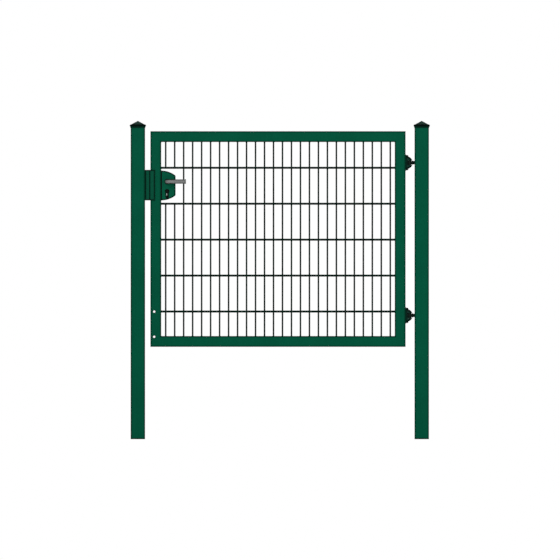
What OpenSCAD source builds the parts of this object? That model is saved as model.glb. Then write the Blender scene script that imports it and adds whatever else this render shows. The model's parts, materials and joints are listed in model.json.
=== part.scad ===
// Single swing gate: two square posts, a mitred tube leaf filled with double-rod mesh,
// a lock in a D-shaped case, a keep on the latch post and two adjustable hinges.
// Millimetres. The origin is the centre of the hinge post's foot, +Z is up, +X points
// from the latch post to the hinge post, and the leaf swings open towards +Y.

/* [Posts] */
// Side of a square post
post_w = 80; // [70:1:100]
// Wall of a post
post_wall = 3; // [2:0.5:5]
// Outer corner radius of a post
post_corner_r = 6; // [5.5:0.5:10]
// Length of a post, foot to top
post_len = 1750; // [1740:10:2400]

/* [Post caps] */
// How far a cap's bead stands out past the post
cap_overhang = 5.5; // [4:0.5:10]
// Height of the pyramid above the post's top
cap_peak = 22; // [12:1:40]
// Radius of the rounded bead round the cap
cap_bead_r = 7; // [5:0.5:8]
// Depth of the bead's centre below the post's top
cap_bead_drop = 5; // [3:0.5:5.5]
// How far the cap's skirt reaches down the post
cap_skirt = 18; // [16:1:30]
// Wall of the cap
cap_wall = 1.5; // [1:0.5:3]
// How far the slope runs into the bead
cap_eave_bite = 1.2; // [0.8:0.2:2]
// Width of the seat on the post's end, inside its wall
cap_seat = 1; // [0.5:0.5:3]
// Gap between the skirt and the post
cap_gap = 0.3; // [0.1:0.1:0.8]

/* [Leaf] */
// Width of the leaf over its frame
leaf_w = 1420; // [1000:10:1600]
// Height of the leaf over its frame
leaf_h = 1200; // [1100:10:1210]
// Height of the leaf's lower edge above the posts' feet
leaf_foot = 514; // [300:1:530]
// Gap between the latch post and the leaf
latch_gap = 30; // [27:1:45]
// Gap between the leaf and the hinge post
hinge_gap = 50; // [48:1:60]
// Face width of the frame tube
frame_face = 60; // [50:1:70]
// Depth of the frame tube
frame_deep = 40; // [36:1:40]
// Wall of the frame tube
frame_wall = 2; // [1.5:0.5:3]
// Outer corner radius of the frame tube
frame_corner_r = 4; // [3.5:0.5:6]

/* [Mesh] */
// Spacing of the upright rods
rod_pitch = 50; // [40:1:80]
// Spacing of the double cross rods
row_pitch = 200; // [180:1:210]
// Height of the lowest row above the leaf's lower edge
row_first = 196.5; // [180:0.5:200]
// Diameter of an upright rod
upright_d = 9; // [4:0.5:10]
// Diameter of a cross rod
cross_d = 12; // [6:0.5:12]
// How far a cross rod is sunk into an upright by the weld
weld_sink = 0.8; // [0.4:0.1:1.2]

/* [Drill holes] */
// Diameter of the holes for a floor bolt
drill_d = 13; // [8:0.5:16]
// Height of the lower hole above the leaf's lower edge
drill_low = 56; // [50:1:80]
// Spacing of the two holes
drill_pitch = 140; // [80:1:200]
// Distance of the holes from the leaf's outer edge
drill_inset = 21; // [15:1:30]

/* [Lock case] */
// Height of the lock's centre above the leaf's lower edge
lock_height = 898; // [880:1:910]
// How far the case reaches in from the stile
case_reach = 80; // [70:1:90]
// Height of the case at the stile
case_tall = 166; // [150:1:176]
// Height of the case's straight side
case_side = 110; // [90:1:130]
// Wall of the case
case_wall = 2.5; // [2:0.5:3]
// Least gap between the case and the rods round it
case_clear = 5; // [3:1:10]

/* [Lock] */
// Distance of the spindle from the stile's inner edge
spindle_in = 33; // [30:1:45]
// Height of the spindle above the lock's centre
spindle_up = 22; // [15:1:30]
// Distance from the spindle down to the cylinder's plug
cylinder_drop = 54; // [45:1:60]
// Width of the square spindle
spindle_w = 8; // [6:1:9]
// Play of the spindle's corners in the lock
follower_gap = 1; // [0.5:0.5:2]
// Length of the forend plate
forend_tall = 160; // [150:1:165]
// Width of the forend plate
forend_w = 24; // [20:1:28]
// Thickness of the forend plate
forend_t = 3; // [2:0.5:4]
// Thickness of the lock inside the case
lock_t = 15; // [12:1:18]
// Width of the latch bolt and the dead bolt
bolt_w = 13; // [10:1:14]
// Height of the latch bolt
latch_tall = 32; // [24:1:38]
// Height of the dead bolt
dead_tall = 34; // [24:1:40]
// Gap between the lock and the case above and below it
lock_gap = 7; // [5:0.5:10]
// Distance from the lock's end to the case's far side
lock_end = 16; // [10:1:20]

/* [Lock cylinder] */
// Diameter of the cylinder's round part
cylinder_d = 17; // [16:0.5:18]
// Width of the cylinder's leg
cylinder_leg_w = 10; // [9:0.5:11]
// Height of the whole cylinder profile
cylinder_tall = 33; // [30:1:36]
// How far the cylinder stands out of the case
cylinder_proud = 4; // [2:1:8]
// Diameter of the turning plug
plug_d = 13; // [11:0.5:14]
// Width of the keyway
key_w = 2; // [1.5:0.5:3]
// Height of the keyway
key_tall = 8; // [7:0.5:10]
// Depth of the keyway
key_deep = 6; // [3:1:15]
// Diameter of the guard's round part
guard_d = 25; // [20:1:26]
// Width of the guard's leg
guard_leg_w = 18; // [13:1:19]
// Length of the guard's leg below the plug's axis
guard_drop = 40; // [30:1:42]
// Thickness of the guard
guard_t = 2; // [1:0.5:3]

/* [Levers] */
// Diameter of a lever's bar
lever_d = 24; // [18:0.5:26]
// Length from the spindle to the lever's tip
lever_len = 105; // [90:1:130]
// Distance of the bar's axis from the case's face
lever_out = 43; // [38:1:60]
// Diameter of the neck that carries the bar
neck_d = 16; // [14:0.5:17]
// Length of the collar at the tip
tip_len = 6; // [4:1:12]
// How far the collar stands out round the bar
tip_lip = 0.8; // [0.4:0.2:2]

/* [Keep] */
// Height of the keep
keep_tall = 170; // [166:1:200]
// Height of the keep's centre above the lock's centre
keep_up = 2; // [0:0.5:5]
// Wall of the keep
keep_wall = 4; // [3:0.5:5]
// Gap between the keep and the forend plate
keep_gap = 6; // [5:0.5:8]
// How far the stop flange laps over the leaf
stop_lap = 25; // [20:1:35]
// Thickness of the stop flange
stop_t = 5; // [4:0.5:8]
// Thickness of the rubber buffer
buffer_t = 3; // [2:0.5:6]
// Gap between the buffer and the closed leaf
buffer_gap = 1; // [0.5:0.5:2]
// Gap round a bolt in the keep's windows, above and below
window_gap = 5; // [3:1:8]
// Width of the keep's windows
window_w = 26; // [20:1:28]
// Distance of the buffer's ends from the keep's ends
buffer_end = 8; // [4:1:20]
// Width and depth of the groove along the flange's root
groove = 2.5; // [1.5:0.5:3]

/* [Hinges] */
// Distance of a hinge from the leaf's upper or lower edge
hinge_inset = 175; // [120:1:250]
// Distance of the pivot from the leaf's edge
pivot_out = 22; // [21.5:0.5:23]
// Height of the hinge's base plate
plate_tall = 86; // [82:1:100]
// Width of the base plate
plate_w = 32; // [30:1:34]
// Thickness of the base plate
plate_t = 8; // [6:0.5:8.5]
// Radius of the base plate's corners
plate_corner_r = 3; // [2:0.5:5]
// Radius of the hinge's half-round body
yoke_r = 36; // [35:0.5:37]
// Distance of the half-round body's centre from the leaf's edge
yoke_in = 4; // [2:0.5:5]
// Radius of the hinge's ears about the pin
ear_r = 15; // [13:0.5:15]
// Thickness of an ear under the pin's head
ear_t = 9; // [7:0.5:10]
// Diameter of the hinge pin
pin_d = 10; // [8:0.5:12]
// Diameter of the pin's head
pin_head_d = 15; // [13.5:0.5:16]
// Height of the pin's head
pin_head_h = 3; // [2:0.5:4]
// Gap round the pin's head in its seat
pin_head_gap = 0.5; // [0.3:0.1:0.6]
// Outer diameter of the eye
eye_d = 22; // [20:0.5:23]
// Height of the eye
eye_h = 24; // [20:0.5:25]
// Diameter of the eye bolt's shank
shank_d = 16; // [12:1:16]
// How far the shank reaches into the post
shank_in = 45; // [30:1:60]
// Width across the flats of the lock nut
nut_af = 22; // [20:0.5:22.5]
// Height of the lock nut
nut_h = 8; // [6:0.5:9]
// Gap between the eye and the lock nut
nut_gap = 1; // [0.5:0.5:2]
// Diameter of the nut's collar next to the eye
collar_d = 21; // [19:0.5:22]
// Diameter of the nut's collar where it meets the post
collar_tip_d = 18; // [17.5:0.5:19]
// Width of the web behind the eye
web_w = 14; // [10:1:14]
// Gap between the web and the shank when the leaf stands open
web_gap = 2; // [1.5:0.5:2.5]
// Gap above and below the eye
eye_gap = 0.5; // [0.3:0.1:1]
// Radial running gap of pins and bores
run_gap = 0.05; // [0.03:0.01:0.08]

/* [Hidden] */
$fn = 64;

paint = "#014f38";
mesh_paint = "#0b2f25";
cap_green = "#20382f";
hinge_dark = "#14302a";
steel_grey = "#7d8282";
lever_grey = "#787878";
black = "#101312";

// Where the main pieces stand
leaf_right = -(post_w / 2 + hinge_gap);
leaf_left = leaf_right - leaf_w;
latch_post_x = leaf_left - latch_gap - post_w / 2;
latch_face_x = latch_post_x + post_w / 2;
leaf_bottom = leaf_foot;
leaf_top = leaf_bottom + leaf_h;
inner_left = leaf_left + frame_face;
inner_right = leaf_right - frame_face;
inner_bottom = leaf_bottom + frame_face;
inner_top = leaf_top - frame_face;
case_face = frame_deep / 2;

// Caps
cap_bead_x = post_w / 2 + cap_overhang - cap_bead_r;
cap_eave_x = cap_bead_x + cap_eave_bite;
cap_eave_z = cap_bead_r - cap_bead_drop - cap_eave_bite;
cap_skirt_x = post_w / 2 + cap_gap + cap_wall;
cap_skirt_top = -cap_bead_drop - cap_bead_r / 2;
cap_slope = atan2(cap_peak - cap_eave_z, cap_eave_x);

// Hinges
pivot_x = leaf_right + pivot_out;
lower_hinge_z = leaf_bottom + hinge_inset;
upper_hinge_z = leaf_top - hinge_inset;
post_face_x = -post_w / 2;
nut_x = pivot_x + eye_d / 2 + nut_gap;
slot_half = eye_h / 2 + eye_gap;
ear_top = slot_half + ear_t;
fit_gap = 0.1;

// Lock
lock_z = leaf_bottom + lock_height;
spindle_x = inner_left + spindle_in;
spindle_z = lock_z + spindle_up;
cylinder_z = spindle_z - cylinder_drop;
case_drop = (case_tall - case_side) / 2;
case_arc_r = (case_reach * case_reach + case_drop * case_drop) / (2 * case_drop);
lock_back = case_reach - lock_end;
lock_tall = 2 * (case_half(lock_back) - lock_gap);
latch_z = spindle_z;
dead_z = cylinder_z;

// Half the height inside the case at a distance from the stile
function case_half(x) = case_tall / 2 - case_arc_r + sqrt(pow(case_arc_r - case_wall, 2) - x * x);

// Keep
keep_front_x = leaf_left - forend_t - keep_gap;
keep_end_x = leaf_left + stop_lap;
stop_back_y = -(frame_deep / 2 + buffer_gap + buffer_t);
stop_front_y = stop_back_y - stop_t;
keep_rear_y = frame_deep / 2;
keep_z = lock_z + keep_up - keep_tall / 2;

// Mesh
rod_count = floor((inner_right - inner_left) / rod_pitch);
rod_first = (inner_left + inner_right) / 2 - (rod_count - 1) * rod_pitch / 2;
row_low = leaf_bottom + row_first;
row_count = 1 + floor((inner_top - row_low - cross_d) / row_pitch);
cross_y = (upright_d + cross_d) / 2 - weld_sink;
bay_right = inner_left + case_reach + case_clear;
bay_rod_x = rod_first + ceil((bay_right + upright_d / 2 - rod_first) / rod_pitch) * rod_pitch;
bay_half = case_tall / 2 + cross_d / 2 + case_clear;
bay_low = row_low + floor((lock_z - bay_half - row_low) / row_pitch) * row_pitch;
bay_high = row_low + ceil((lock_z + bay_half - row_low) / row_pitch) * row_pitch;

// ---------- shared shapes ----------

// A rectangle with true round corners, centred
module round_rect(w, h, r) {
    square([w - 2 * r, h], center = true);
    square([w, h - 2 * r], center = true);
    for (x = [-1, 1], y = [-1, 1])
        translate([x * (w / 2 - r), y * (h / 2 - r)]) circle(r);
}

// The section of a rectangular tube, centred
module tube_section(w, h, r, wall) {
    difference() {
        round_rect(w, h, r);
        round_rect(w - 2 * wall, h - 2 * wall, max(r - wall, 1));
    }
}

// A shape drawn in X and Z, made thick along Y about y
module plate_y(y, thick) {
    translate([0, y + thick / 2, 0]) rotate([90, 0, 0]) linear_extrude(thick) children();
}

// A shape drawn in Y and Z, run along X from x
module run_x(x, len) {
    translate([x, 0, 0]) rotate([90, 0, 90]) linear_extrude(len) children();
}

// A round bar along Y between two faces
module bar_y(x, z, d, y0, y1) {
    translate([x, y0, z]) rotate([-90, 0, 0]) cylinder(d = d, h = y1 - y0);
}

// An eight-sided rod whose flats are d apart
module rod(d, len) {
    rotate([0, 0, 22.5]) cylinder(d = d / cos(22.5), h = len, $fn = 8);
}

// ---------- posts ----------

module post(x, hole_heights) {
    color(paint) difference() {
        translate([x, 0, 0]) linear_extrude(post_len)
            tube_section(post_w, post_w, post_corner_r, post_wall);
        for (z = hole_heights)
            translate([x - post_w / 2 - 1, 0, z]) rotate([0, 90, 0])
                cylinder(d = shank_d + 2 * fit_gap, h = post_wall + 2);
    }
}

module latch_post() {
    post(latch_post_x, []);
}

module hinge_post() {
    post(0, [lower_hinge_z, upper_hinge_z]);
}

// The cap's outline: a slope that runs into the bead on each side, and the skirt below
module cap_outline() {
    polygon([
        [-cap_skirt_x, -cap_skirt], [cap_skirt_x, -cap_skirt], [cap_skirt_x, cap_skirt_top],
        [cap_eave_x, cap_eave_z], [0, cap_peak], [-cap_eave_x, cap_eave_z],
        [-cap_skirt_x, cap_skirt_top]
    ]);
    for (s = [-1, 1]) translate([s * cap_bead_x, -cap_bead_drop]) circle(cap_bead_r);
}

// The hollow under the slope, inside the post's end
module cap_hollow_outline() {
    half = post_w / 2 - post_wall - cap_seat;
    peak = cap_peak - cap_wall / cos(cap_slope);
    polygon([[-half, -1], [half, -1], [half, peak - half * tan(cap_slope)],
        [0, peak], [-half, peak - half * tan(cap_slope)]]);
}

// The two outlines cross at right angles, so the bead and the pyramid get true mitres
module cap(x) {
    run = post_w + 4 * cap_overhang;
    hollow = post_w + 2 * cap_gap;
    color(cap_green) translate([x, 0, post_len]) difference() {
        intersection() {
            plate_y(0, run) cap_outline();
            run_x(-run / 2, run) cap_outline();
        }
        translate([-hollow / 2, -hollow / 2, -cap_skirt - 1])
            cube([hollow, hollow, cap_skirt + 1]);
        intersection() {
            plate_y(0, post_w) cap_hollow_outline();
            run_x(-post_w / 2, post_w) cap_hollow_outline();
        }
    }
}

module latch_post_cap() {
    cap(latch_post_x);
}

module hinge_post_cap() {
    cap(0);
}

// ---------- keep on the latch post ----------

// The keep seen from above: a box on the post, and a flange with a round edge past it
module keep_section() {
    translate([latch_face_x, stop_front_y])
        square([keep_front_x - latch_face_x, keep_rear_y - stop_front_y]);
    translate([latch_face_x, stop_front_y])
        square([keep_end_x - latch_face_x - stop_t / 2, stop_t]);
    translate([keep_end_x - stop_t / 2, stop_front_y + stop_t / 2]) circle(stop_t / 2);
}

module keep_pocket() {
    translate([latch_face_x + keep_wall, stop_back_y, keep_z + keep_wall])
        cube([keep_front_x - latch_face_x - 2 * keep_wall, keep_rear_y - stop_back_y - keep_wall,
            keep_tall - 2 * keep_wall]);
}

module keep_window(z, tall) {
    opening = tall + 2 * window_gap;
    translate([keep_front_x - keep_wall - 1, -window_w / 2, z - opening / 2])
        cube([keep_wall + 2, window_w, opening]);
}

module keep_body() {
    color(paint) difference() {
        translate([0, 0, keep_z]) linear_extrude(keep_tall) keep_section();
        keep_pocket();
        keep_window(latch_z, latch_tall);
        keep_window(dead_z, dead_tall);
        translate([leaf_left - groove, stop_front_y - 1, keep_z - 1])
            cube([groove, groove + 1, keep_tall + 2]);
    }
}

module keep_buffer() {
    color(black) translate([leaf_left + frame_corner_r, stop_back_y, keep_z + buffer_end])
        cube([stop_lap - frame_corner_r - stop_t / 2, buffer_t, keep_tall - 2 * buffer_end]);
}

// ---------- leaf frame ----------

// A tube along Z, cut to an outline that is drawn in X and Z
module mitred_stile(x, corners) {
    intersection() {
        translate([x + frame_face / 2, 0, leaf_bottom]) linear_extrude(leaf_h)
            tube_section(frame_face, frame_deep, frame_corner_r, frame_wall);
        plate_y(0, frame_deep) polygon(corners);
    }
}

// A tube along X, cut to an outline that is drawn in X and Z
module mitred_rail(z, corners) {
    intersection() {
        run_x(leaf_left, leaf_w) translate([0, z + frame_face / 2])
            tube_section(frame_deep, frame_face, frame_corner_r, frame_wall);
        plate_y(0, frame_deep) polygon(corners);
    }
}

module latch_stile() {
    color(paint) difference() {
        mitred_stile(leaf_left, [
            [leaf_left, leaf_bottom], [inner_left, inner_bottom],
            [inner_left, inner_top], [leaf_left, leaf_top]
        ]);
        for (n = [0, 1])
            bar_y(leaf_left + drill_inset, leaf_bottom + drill_low + n * drill_pitch,
                drill_d, -frame_deep, frame_deep);
        translate([leaf_left - 1, -lock_t / 2 - fit_gap, lock_z - lock_tall / 2 - fit_gap])
            cube([frame_face + 2, lock_t + 2 * fit_gap, lock_tall + 2 * fit_gap]);
    }
}

module hinge_stile() {
    color(paint) mitred_stile(inner_right, [
        [inner_right, inner_bottom], [leaf_right, leaf_bottom],
        [leaf_right, leaf_top], [inner_right, inner_top]
    ]);
}

module top_rail() {
    color(paint) mitred_rail(inner_top, [
        [leaf_left, leaf_top], [inner_left, inner_top],
        [inner_right, inner_top], [leaf_right, leaf_top]
    ]);
}

module bottom_rail() {
    color(paint) mitred_rail(leaf_bottom, [
        [leaf_left, leaf_bottom], [leaf_right, leaf_bottom],
        [inner_right, inner_bottom], [inner_left, inner_bottom]
    ]);
}

// ---------- mesh ----------

// Uprights that would run through the lock case stop at the rows above and below it
module uprights() {
    for (n = [0 : rod_count - 1]) {
        x = rod_first + n * rod_pitch;
        if (x < bay_rod_x - rod_pitch / 2) {
            upright(x, inner_bottom, bay_low + cross_d / 2);
            upright(x, bay_high - cross_d / 2, inner_top);
        } else {
            upright(x, inner_bottom, inner_top);
        }
    }
}

module upright(x, z0, z1) {
    if (z1 > z0) translate([x, 0, z0]) rod(upright_d, z1 - z0);
}

// A row between those two starts at the first full upright past the case
module cross_rods() {
    for (n = [0 : row_count - 1], side = [-1, 1]) {
        z = row_low + n * row_pitch;
        x = z > bay_low && z < bay_high ? bay_rod_x - upright_d : inner_left;
        translate([x, side * cross_y, z]) rotate([0, 90, 0]) rod(cross_d, inner_right - x);
    }
}

module mesh_panel() {
    color(mesh_paint) union() {
        uprights();
        cross_rods();
    }
}

// ---------- hinges ----------

// Base plate with round corners on its outer side, and a half-round body with two ears
module hinge_yoke(z) {
    color(hinge_dark) translate([leaf_right, 0, z]) difference() {
        union() {
            plate_y(0, plate_w) hinge_plate_outline();
            intersection() {
                plate_y(0, 2 * ear_r) hinge_body_outline();
                translate([0, 0, -yoke_r]) linear_extrude(2 * yoke_r) hinge_ear_plan();
            }
        }
        translate([0, 0, -slot_half]) linear_extrude(2 * slot_half) hinge_slot_plan();
        translate([pivot_out, 0, -yoke_r - 1]) cylinder(r = pin_d / 2 + run_gap, h = 2 * yoke_r + 2);
        for (s = [0, 1]) mirror([0, 0, s]) translate([pivot_out, 0, ear_top])
            cylinder(d = pin_head_d + 2 * pin_head_gap, h = yoke_r);
    }
}

module hinge_plate_outline() {
    flat = plate_tall / 2 - plate_corner_r;
    translate([0, -plate_tall / 2]) square([plate_t - plate_corner_r, plate_tall]);
    translate([0, -flat]) square([plate_t, 2 * flat]);
    for (s = [-1, 1]) translate([plate_t - plate_corner_r, s * flat]) circle(plate_corner_r);
}

module hinge_body_outline() {
    intersection() {
        translate([yoke_in, 0]) circle(yoke_r);
        translate([0, -yoke_r]) square([yoke_in + yoke_r, 2 * yoke_r]);
    }
}

module hinge_ear_plan() {
    translate([0, -ear_r]) square([pivot_out, 2 * ear_r]);
    translate([pivot_out, 0]) circle(ear_r);
}

// The slot from above: clear round the eye, and closed behind it by a web that is
// narrow enough for the lock nut to swing past
module hinge_slot_plan() {
    web_end = pivot_out - shank_d / 2 - web_gap;
    difference() {
        translate([plate_t, -plate_w]) square([yoke_in + yoke_r, 2 * plate_w]);
        translate([0, -web_w / 2]) square([web_end, web_w]);
    }
    translate([pivot_out, 0]) circle(eye_d / 2 + eye_gap);
}

module hinge_pin(z) {
    color(steel_grey) translate([pivot_x, 0, z]) {
        translate([0, 0, -ear_top]) cylinder(d = pin_d, h = 2 * ear_top);
        for (s = [0, 1]) mirror([0, 0, s]) translate([0, 0, ear_top]) {
            cylinder(d = pin_head_d, h = pin_head_h / 2);
            translate([0, 0, pin_head_h / 2])
                cylinder(d1 = pin_head_d, d2 = pin_head_d - pin_head_h, h = pin_head_h / 2);
        }
    }
}

module eye_bolt(z) {
    reach = post_face_x + shank_in - pivot_x;
    color(steel_grey) translate([pivot_x, 0, z]) difference() {
        union() {
            translate([0, 0, -eye_h / 2]) cylinder(d = eye_d, h = eye_h);
            rotate([0, 90, 0]) cylinder(d = shank_d, h = reach);
        }
        translate([0, 0, -eye_h]) cylinder(r = pin_d / 2 + run_gap, h = 2 * eye_h);
    }
}

// Hexagon nut, and a collar that narrows towards the post's face
module lock_nut(z) {
    reach = post_face_x - nut_x;
    color(steel_grey) translate([nut_x, 0, z]) rotate([0, 90, 0]) difference() {
        union() {
            rotate([0, 0, 30]) cylinder(d = nut_af / cos(30), h = nut_h, $fn = 6);
            cylinder(d1 = collar_d, d2 = collar_tip_d, h = reach);
        }
        translate([0, 0, -1]) cylinder(d = shank_d + 2 * fit_gap, h = reach + 2);
    }
}

module upper_hinge_yoke() {
    hinge_yoke(upper_hinge_z);
}

module lower_hinge_yoke() {
    hinge_yoke(lower_hinge_z);
}

module upper_hinge_pin() {
    hinge_pin(upper_hinge_z);
}

module lower_hinge_pin() {
    hinge_pin(lower_hinge_z);
}

module upper_eye_bolt() {
    eye_bolt(upper_hinge_z);
}

module lower_eye_bolt() {
    eye_bolt(lower_hinge_z);
}

module upper_lock_nut() {
    lock_nut(upper_hinge_z);
}

module lower_lock_nut() {
    lock_nut(lower_hinge_z);
}

// ---------- lock ----------

// The D outline: flat against the stile, arcs above and below, one straight side
module case_outline(inset) {
    intersection() {
        translate([0, -case_tall / 2 + inset])
            square([case_reach - inset, case_tall - 2 * inset]);
        both_arcs(inset);
    }
}

module both_arcs(inset) {
    centre = case_tall / 2 - case_arc_r;
    intersection() {
        translate([0, centre]) circle(case_arc_r - inset, $fn = 180);
        translate([0, -centre]) circle(case_arc_r - inset, $fn = 180);
    }
}

// The section of a profile cylinder: a round head over a straight leg with a round foot
module profile_section(head_d, leg_w, tall) {
    circle(d = head_d);
    translate([-leg_w / 2, head_d / 2 - tall + leg_w / 2])
        square([leg_w, tall - head_d / 2 - leg_w / 2]);
    translate([0, head_d / 2 - tall + leg_w / 2]) circle(d = leg_w);
}

// The same profile with a gap all round, for the holes that it passes through
module profile_hole() {
    translate([spindle_x, cylinder_z])
        profile_section(cylinder_d + 2 * fit_gap, cylinder_leg_w + 2 * fit_gap,
            cylinder_tall + 2 * fit_gap);
}

module lock_case() {
    color(paint) difference() {
        translate([inner_left, 0, lock_z]) plate_y(0, frame_deep) case_outline(0);
        translate([inner_left - 1, 0, lock_z])
            plate_y(0, frame_deep - 2 * case_wall) case_outline(case_wall);
        bar_y(spindle_x, spindle_z, neck_d + 2 * run_gap, -frame_deep, frame_deep);
        plate_y(0, 2 * frame_deep) profile_hole();
    }
}

// Forend plate on the stile's outer edge, and the flat lock behind it
module lock_body() {
    follower_d = spindle_w * sqrt(2) + follower_gap;
    color(steel_grey) difference() {
        union() {
            translate([leaf_left - forend_t, -forend_w / 2, lock_z - forend_tall / 2])
                cube([forend_t, forend_w, forend_tall]);
            translate([leaf_left, -lock_t / 2, lock_z - lock_tall / 2])
                cube([frame_face + lock_back, lock_t, lock_tall]);
        }
        bar_y(spindle_x, spindle_z, follower_d, -frame_deep, frame_deep);
        plate_y(0, 2 * frame_deep) profile_hole();
        bolt_pocket(latch_z, latch_tall);
        bolt_pocket(dead_z, dead_tall);
    }
}

module bolt_pocket(z, tall) {
    translate([leaf_left - forend_t - 1, -bolt_w / 2 - fit_gap, z - tall / 2 - fit_gap])
        cube([forend_t + frame_face / 2 + 1, bolt_w + 2 * fit_gap, tall + 2 * fit_gap]);
}

// Drawn back level with the forend plate, so that the leaf is free to swing
module bolt(z, tall) {
    color(steel_grey) translate([leaf_left - forend_t, -bolt_w / 2, z - tall / 2])
        cube([forend_t + frame_face / 2, bolt_w, tall]);
}

module latch_bolt() {
    bolt(latch_z, latch_tall);
}

module dead_bolt() {
    bolt(dead_z, dead_tall);
}

module guard(side) {
    color(black) plate_y(side * (case_face + guard_t / 2), guard_t) difference() {
        translate([spindle_x, cylinder_z])
            profile_section(guard_d, guard_leg_w, guard_drop + guard_d / 2);
        profile_hole();
    }
}

module front_cylinder_guard() {
    guard(-1);
}

module rear_cylinder_guard() {
    guard(1);
}

module lock_cylinder() {
    length = frame_deep + 2 * cylinder_proud;
    color(steel_grey) difference() {
        plate_y(0, length) translate([spindle_x, cylinder_z])
            profile_section(cylinder_d, cylinder_leg_w, cylinder_tall);
        bar_y(spindle_x, cylinder_z, plug_d + 2 * fit_gap, -length, length);
    }
}

module cylinder_plug() {
    length = frame_deep + 2 * cylinder_proud;
    color(black) difference() {
        bar_y(spindle_x, cylinder_z, plug_d, -length / 2, length / 2);
        for (s = [-1, 1])
            translate([spindle_x - key_w / 2, s * length / 2 - key_deep, cylinder_z - key_tall / 2])
                cube([key_w, 2 * key_deep, key_tall]);
    }
}

// ---------- levers ----------

// Bearing in the case's wall, a neck, a ball at the bend, the bar and a collar at its tip
module lever() {
    bar_at = case_face + lever_out;
    ball_in = sqrt(lever_d * lever_d - neck_d * neck_d) / 2;
    difference() {
        union() {
            translate([0, case_face - case_wall, 0]) rotate([-90, 0, 0])
                cylinder(d = neck_d, h = lever_out + case_wall);
            translate([0, bar_at, 0]) sphere(d = lever_d);
            translate([0, bar_at, 0]) rotate([0, 90, 0])
                cylinder(d = lever_d, h = lever_len - tip_len / 2);
            translate([lever_len - tip_len, bar_at, 0]) rotate([0, 90, 0])
                cylinder(d = lever_d + 2 * tip_lip, h = tip_len);
        }
        translate([-spindle_w / 2, 0, -spindle_w / 2])
            cube([spindle_w, bar_at - ball_in, spindle_w]);
    }
}

module front_lever() {
    color(lever_grey) translate([spindle_x, 0, spindle_z]) mirror([0, 1, 0]) lever();
}

module rear_lever() {
    color(lever_grey) translate([spindle_x, 0, spindle_z]) lever();
}

module spindle() {
    length = frame_deep + lever_out;
    side = spindle_w - 2 * fit_gap;
    color(steel_grey) translate([spindle_x - side / 2, -length / 2, spindle_z - side / 2])
        cube([side, length, side]);
}

// ---------- the gate ----------

latch_post();
latch_post_cap();
hinge_post();
hinge_post_cap();
keep_body();
keep_buffer();
upper_eye_bolt();
lower_eye_bolt();
upper_lock_nut();
lower_lock_nut();
latch_stile();
hinge_stile();
top_rail();
bottom_rail();
mesh_panel();
upper_hinge_yoke();
lower_hinge_yoke();
upper_hinge_pin();
lower_hinge_pin();
lock_case();
lock_body();
latch_bolt();
dead_bolt();
front_cylinder_guard();
rear_cylinder_guard();
lock_cylinder();
cylinder_plug();
front_lever();
rear_lever();
spindle();
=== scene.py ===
"""Looks for a swing gate with double-rod mesh: two posts, a tube leaf, a lock and two hinges."""
import json
import math

import bmesh
import bpy
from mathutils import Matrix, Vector

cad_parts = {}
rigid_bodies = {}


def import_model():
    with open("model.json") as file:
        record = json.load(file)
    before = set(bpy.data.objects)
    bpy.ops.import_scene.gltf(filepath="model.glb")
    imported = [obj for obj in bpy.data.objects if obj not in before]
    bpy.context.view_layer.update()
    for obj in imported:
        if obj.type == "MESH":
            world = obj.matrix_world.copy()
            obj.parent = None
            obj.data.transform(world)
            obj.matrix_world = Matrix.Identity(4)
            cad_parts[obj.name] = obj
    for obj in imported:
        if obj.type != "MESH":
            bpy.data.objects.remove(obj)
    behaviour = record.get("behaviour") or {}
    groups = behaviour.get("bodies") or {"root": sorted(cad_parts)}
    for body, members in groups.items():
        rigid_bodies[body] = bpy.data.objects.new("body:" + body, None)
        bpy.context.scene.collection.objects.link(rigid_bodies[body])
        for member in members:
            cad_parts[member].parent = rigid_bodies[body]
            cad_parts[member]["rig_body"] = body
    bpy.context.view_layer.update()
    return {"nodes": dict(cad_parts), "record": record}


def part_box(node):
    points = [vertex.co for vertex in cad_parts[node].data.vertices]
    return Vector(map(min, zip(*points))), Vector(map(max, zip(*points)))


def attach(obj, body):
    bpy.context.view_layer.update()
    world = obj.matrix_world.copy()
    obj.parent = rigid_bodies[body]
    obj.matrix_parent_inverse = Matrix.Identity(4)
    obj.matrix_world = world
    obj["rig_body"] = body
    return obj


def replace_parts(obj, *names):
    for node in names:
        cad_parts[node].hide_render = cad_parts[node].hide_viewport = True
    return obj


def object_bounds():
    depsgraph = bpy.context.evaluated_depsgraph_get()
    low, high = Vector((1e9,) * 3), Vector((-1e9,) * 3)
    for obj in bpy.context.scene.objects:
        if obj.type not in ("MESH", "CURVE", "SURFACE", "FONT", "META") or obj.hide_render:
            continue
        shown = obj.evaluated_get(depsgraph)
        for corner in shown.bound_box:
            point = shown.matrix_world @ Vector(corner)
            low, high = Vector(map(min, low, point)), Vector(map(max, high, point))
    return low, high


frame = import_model()
MM = 0.001
NEAR = 0.01 * MM  # how close a vertex lies to a face that it belongs to
QUARTER = math.pi / 2
SIXTH = math.pi / 3


# ---------- colours ----------

def srgb(r, g, b):
    """An 8-bit display colour as linear RGBA."""
    def linear(c):
        c /= 255
        return c / 12.92 if c <= 0.04045 else ((c + 0.055) / 1.055) ** 2.4
    return (linear(r), linear(g), linear(b), 1.0)


def shade(colour, amount):
    """The colour made darker or lighter, still opaque."""
    return [c * amount for c in colour[:3]] + [1]


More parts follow.
